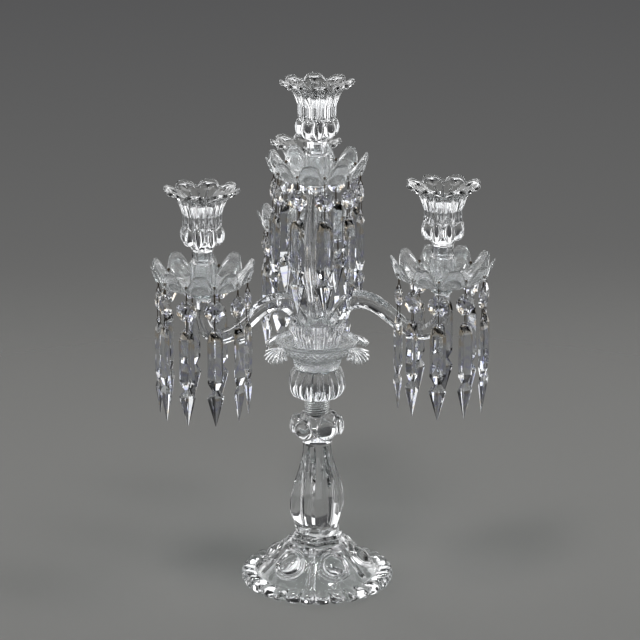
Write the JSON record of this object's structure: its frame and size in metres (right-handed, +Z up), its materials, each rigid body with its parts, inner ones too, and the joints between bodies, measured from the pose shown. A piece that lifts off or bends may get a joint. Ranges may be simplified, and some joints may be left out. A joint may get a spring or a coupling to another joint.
{
  "type": "girandole candle holder",
  "caption": "Cut-crystal girandole candle holder: domed foot, fluted stem, S-shaped arms and a central column with flared candle cups over petalled drip dishes hung with prism drops.",
  "frame": {"origin": "centre of the foot's underside, on the main axis", "axes": "+Z up the stem, +Y towards the rear arm, away from the viewer of the picture"},
  "size_m": [0.36, 0.3259, 0.56],
  "materials": {
    "crystal": "clear pressed and cut crystal, fire polished",
    "drop_crystal": "clear faceted crystal, polished",
    "wire": "dark patina"
  },
  "bodies": {
    "stand": {"foot": "crystal", "stem": "crystal", "gadroon_knop": "crystal", "receiver_bowl": "crystal", "arm_hub": "crystal", "central_column": "crystal", "arm_left": "crystal", "arm_right": "crystal", "arm_rear": "crystal", "drip_dish_left": "crystal", "drip_dish_right": "crystal", "drip_dish_rear": "crystal", "drip_dish_center": "crystal", "hook_pins": "wire"},
    "cup_left": {"candle_cup_left": "crystal"},
    "cup_right": {"candle_cup_right": "crystal"},
    "cup_rear": {"candle_cup_rear": "crystal"},
    "cup_center": {"candle_cup_center": "crystal"},
    "drop_left_1": {"drop_left_1": "drop_crystal"},
    "drop_left_2": {"drop_left_2": "drop_crystal"},
    "drop_left_3": {"drop_left_3": "drop_crystal"},
    "drop_left_4": {"drop_left_4": "drop_crystal"},
    "drop_left_5": {"drop_left_5": "drop_crystal"},
    "drop_left_6": {"drop_left_6": "drop_crystal"},
    "drop_left_7": {"drop_left_7": "drop_crystal"},
    "drop_left_8": {"drop_left_8": "drop_crystal"},
    "drop_left_9": {"drop_left_9": "drop_crystal"},
    "drop_right_1": {"drop_right_1": "drop_crystal"},
    "drop_right_2": {"drop_right_2": "drop_crystal"},
    "drop_right_3": {"drop_right_3": "drop_crystal"},
    "drop_right_4": {"drop_right_4": "drop_crystal"},
    "drop_right_5": {"drop_right_5": "drop_crystal"},
    "drop_right_6": {"drop_right_6": "drop_crystal"},
    "drop_right_7": {"drop_right_7": "drop_crystal"},
    "drop_right_8": {"drop_right_8": "drop_crystal"},
    "drop_right_9": {"drop_right_9": "drop_crystal"},
    "drop_rear_1": {"drop_rear_1": "drop_crystal"},
    "drop_rear_2": {"drop_rear_2": "drop_crystal"},
    "drop_rear_3": {"drop_rear_3": "drop_crystal"},
    "drop_rear_4": {"drop_rear_4": "drop_crystal"},
    "drop_rear_5": {"drop_rear_5": "drop_crystal"},
    "drop_rear_6": {"drop_rear_6": "drop_crystal"},
    "drop_rear_7": {"drop_rear_7": "drop_crystal"},
    "drop_rear_8": {"drop_rear_8": "drop_crystal"},
    "drop_rear_9": {"drop_rear_9": "drop_crystal"},
    "drop_center_1": {"drop_center_1": "drop_crystal"},
    "drop_center_2": {"drop_center_2": "drop_crystal"},
    "drop_center_3": {"drop_center_3": "drop_crystal"},
    "drop_center_4": {"drop_center_4": "drop_crystal"},
    "drop_center_5": {"drop_center_5": "drop_crystal"},
    "drop_center_6": {"drop_center_6": "drop_crystal"},
    "drop_center_7": {"drop_center_7": "drop_crystal"},
    "drop_center_8": {"drop_center_8": "drop_crystal"},
    "drop_center_9": {"drop_center_9": "drop_crystal"},
    "drop_center_10": {"drop_center_10": "drop_crystal"}
  },
  "joints": [
    {"name": "cup_left_lift", "type": "slide", "parent": "stand", "child": "cup_left", "axis": [0, 0, 1], "range_m": [0, 0.05]},
    {"name": "cup_right_lift", "type": "slide", "parent": "stand", "child": "cup_right", "axis": [0, 0, 1], "range_m": [0, 0.05]},
    {"name": "cup_rear_lift", "type": "slide", "parent": "stand", "child": "cup_rear", "axis": [0, 0, 1], "range_m": [0, 0.05]},
    {"name": "cup_center_lift", "type": "slide", "parent": "stand", "child": "cup_center", "axis": [0, 0, 1], "range_m": [0, 0.05]},
    {"name": "drop_left_1_swing", "type": "hinge", "parent": "stand", "child": "drop_left_1", "pos_m": [-0.10666, -0.03002, 0.35556], "axis": [0.9135, -0.4067, 0], "range_deg": [-4, 12]},
    {"name": "drop_left_2_swing", "type": "hinge", "parent": "stand", "child": "drop_left_2", "pos_m": [-0.13524, -0.02702, 0.35556], "axis": [0.9781, 0.2079, 0], "range_deg": [-4, 12]},
    {"name": "drop_left_3_swing", "type": "hinge", "parent": "stand", "child": "drop_left_3", "pos_m": [-0.16013, -0.04139, 0.35556], "axis": [0.6691, 0.7431, 0], "range_deg": [-4, 12]},
    {"name": "drop_left_4_swing", "type": "hinge", "parent": "stand", "child": "drop_left_4", "pos_m": [-0.17182, -0.06764, 0.35556], "axis": [0.1045, 0.9945, 0], "range_deg": [-4, 12]},
    {"name": "drop_left_5_swing", "type": "hinge", "parent": "stand", "child": "drop_left_5", "pos_m": [-0.16584, -0.09575, 0.35556], "axis": [-0.5, 0.866, 0], "range_deg": [-4, 12]},
    {"name": "drop_left_6_swing", "type": "hinge", "parent": "stand", "child": "drop_left_6", "pos_m": [-0.14449, -0.11498, 0.35556], "axis": [-0.9135, 0.4067, 0], "range_deg": [-4, 12]},
    {"name": "drop_left_7_swing", "type": "hinge", "parent": "stand", "child": "drop_left_7", "pos_m": [-0.11591, -0.11798, 0.35556], "axis": [-0.9781, -0.2079, 0], "range_deg": [-4, 12]},
    {"name": "drop_left_8_swing", "type": "hinge", "parent": "stand", "child": "drop_left_8", "pos_m": [-0.09102, -0.10361, 0.35556], "axis": [-0.6691, -0.7431, 0], "range_deg": [-4, 12]},
    {"name": "drop_left_9_swing", "type": "hinge", "parent": "stand", "child": "drop_left_9", "pos_m": [-0.07933, -0.07736, 0.35556], "axis": [-0.1045, -0.9945, 0], "range_deg": [-4, 12]},
    {"name": "drop_right_1_swing", "type": "hinge", "parent": "stand", "child": "drop_right_1", "pos_m": [0.07933, -0.07736, 0.35556], "axis": [-0.1045, 0.9945, 0], "range_deg": [-4, 12]},
    {"name": "drop_right_2_swing", "type": "hinge", "parent": "stand", "child": "drop_right_2", "pos_m": [0.09102, -0.10361, 0.35556], "axis": [-0.6691, 0.7431, 0], "range_deg": [-4, 12]},
    {"name": "drop_right_3_swing", "type": "hinge", "parent": "stand", "child": "drop_right_3", "pos_m": [0.11591, -0.11798, 0.35556], "axis": [-0.9781, 0.2079, 0], "range_deg": [-4, 12]},
    {"name": "drop_right_4_swing", "type": "hinge", "parent": "stand", "child": "drop_right_4", "pos_m": [0.14449, -0.11498, 0.35556], "axis": [-0.9135, -0.4067, 0], "range_deg": [-4, 12]},
    {"name": "drop_right_5_swing", "type": "hinge", "parent": "stand", "child": "drop_right_5", "pos_m": [0.16584, -0.09575, 0.35556], "axis": [-0.5, -0.866, 0], "range_deg": [-4, 12]},
    {"name": "drop_right_6_swing", "type": "hinge", "parent": "stand", "child": "drop_right_6", "pos_m": [0.17182, -0.06764, 0.35556], "axis": [0.1045, -0.9945, 0], "range_deg": [-4, 12]},
    {"name": "drop_right_7_swing", "type": "hinge", "parent": "stand", "child": "drop_right_7", "pos_m": [0.16013, -0.04139, 0.35556], "axis": [0.6691, -0.7431, 0], "range_deg": [-4, 12]},
    {"name": "drop_right_8_swing", "type": "hinge", "parent": "stand", "child": "drop_right_8", "pos_m": [0.13524, -0.02702, 0.35556], "axis": [0.9781, -0.2079, 0], "range_deg": [-4, 12]},
    {"name": "drop_right_9_swing", "type": "hinge", "parent": "stand", "child": "drop_right_9", "pos_m": [0.10666, -0.03002, 0.35556], "axis": [0.9135, 0.4067, 0], "range_deg": [-4, 12]},
    {"name": "drop_rear_1_swing", "type": "hinge", "parent": "stand", "child": "drop_rear_1", "pos_m": [0.02733, 0.10738, 0.35556], "axis": [-0.809, -0.5878, 0], "range_deg": [-4, 12]},
    {"name": "drop_rear_2_swing", "type": "hinge", "parent": "stand", "child": "drop_rear_2", "pos_m": [0.04422, 0.13063, 0.35556], "axis": [-0.309, -0.9511, 0], "range_deg": [-4, 12]},
    {"name": "drop_rear_3_swing", "type": "hinge", "parent": "stand", "child": "drop_rear_3", "pos_m": [0.04422, 0.15937, 0.35556], "axis": [0.309, -0.9511, 0], "range_deg": [-4, 12]},
    {"name": "drop_rear_4_swing", "type": "hinge", "parent": "stand", "child": "drop_rear_4", "pos_m": [0.02733, 0.18262, 0.35556], "axis": [0.809, -0.5878, 0], "range_deg": [-4, 12]},
    {"name": "drop_rear_5_swing", "type": "hinge", "parent": "stand", "child": "drop_rear_5", "pos_m": [0, 0.1915, 0.35556], "axis": [1, 0, 0], "range_deg": [-4, 12]},
    {"name": "drop_rear_6_swing", "type": "hinge", "parent": "stand", "child": "drop_rear_6", "pos_m": [-0.02733, 0.18262, 0.35556], "axis": [0.809, 0.5878, 0], "range_deg": [-4, 12]},
    {"name": "drop_rear_7_swing", "type": "hinge", "parent": "stand", "child": "drop_rear_7", "pos_m": [-0.04422, 0.15937, 0.35556], "axis": [0.309, 0.9511, 0], "range_deg": [-4, 12]},
    {"name": "drop_rear_8_swing", "type": "hinge", "parent": "stand", "child": "drop_rear_8", "pos_m": [-0.04422, 0.13063, 0.35556], "axis": [-0.309, 0.9511, 0], "range_deg": [-4, 12]},
    {"name": "drop_rear_9_swing", "type": "hinge", "parent": "stand", "child": "drop_rear_9", "pos_m": [-0.02733, 0.10738, 0.35556], "axis": [-0.809, 0.5878, 0], "range_deg": [-4, 12]},
    {"name": "drop_center_1_swing", "type": "hinge", "parent": "stand", "child": "drop_center_1", "pos_m": [0.0428, 0.01817, 0.45156], "axis": [0.3907, -0.9205, 0], "range_deg": [-4, 12]},
    {"name": "drop_center_2_swing", "type": "hinge", "parent": "stand", "child": "drop_center_2", "pos_m": [0.02395, 0.03986, 0.45156], "axis": [0.8572, -0.515, 0], "range_deg": [-4, 12]},
    {"name": "drop_center_3_swing", "type": "hinge", "parent": "stand", "child": "drop_center_3", "pos_m": [-0.00405, 0.04632, 0.45156], "axis": [0.9962, 0.0872, 0], "range_deg": [0, 12]},
    {"name": "drop_center_4_swing", "type": "hinge", "parent": "stand", "child": "drop_center_4", "pos_m": [-0.03051, 0.03509, 0.45156], "axis": [0.7547, 0.6561, 0], "range_deg": [-4, 12]},
    {"name": "drop_center_5_swing", "type": "hinge", "parent": "stand", "child": "drop_center_5", "pos_m": [-0.04531, 0.01046, 0.45156], "axis": [0.225, 0.9744, 0], "range_deg": [-4, 12]},
    {"name": "drop_center_6_swing", "type": "hinge", "parent": "stand", "child": "drop_center_6", "pos_m": [-0.0428, -0.01817, 0.45156], "axis": [-0.3907, 0.9205, 0], "range_deg": [0, 12]},
    {"name": "drop_center_7_swing", "type": "hinge", "parent": "stand", "child": "drop_center_7", "pos_m": [-0.02395, -0.03986, 0.45156], "axis": [-0.8572, 0.515, 0], "range_deg": [-4, 12]},
    {"name": "drop_center_8_swing", "type": "hinge", "parent": "stand", "child": "drop_center_8", "pos_m": [0.00405, -0.04632, 0.45156], "axis": [-0.9962, -0.0872, 0], "range_deg": [-4, 12]},
    {"name": "drop_center_9_swing", "type": "hinge", "parent": "stand", "child": "drop_center_9", "pos_m": [0.03051, -0.03509, 0.45156], "axis": [-0.7547, -0.6561, 0], "range_deg": [-2, 12]},
    {"name": "drop_center_10_swing", "type": "hinge", "parent": "stand", "child": "drop_center_10", "pos_m": [0.04531, -0.01046, 0.45156], "axis": [-0.225, -0.9744, 0], "range_deg": [-2, 12]}
  ]
}
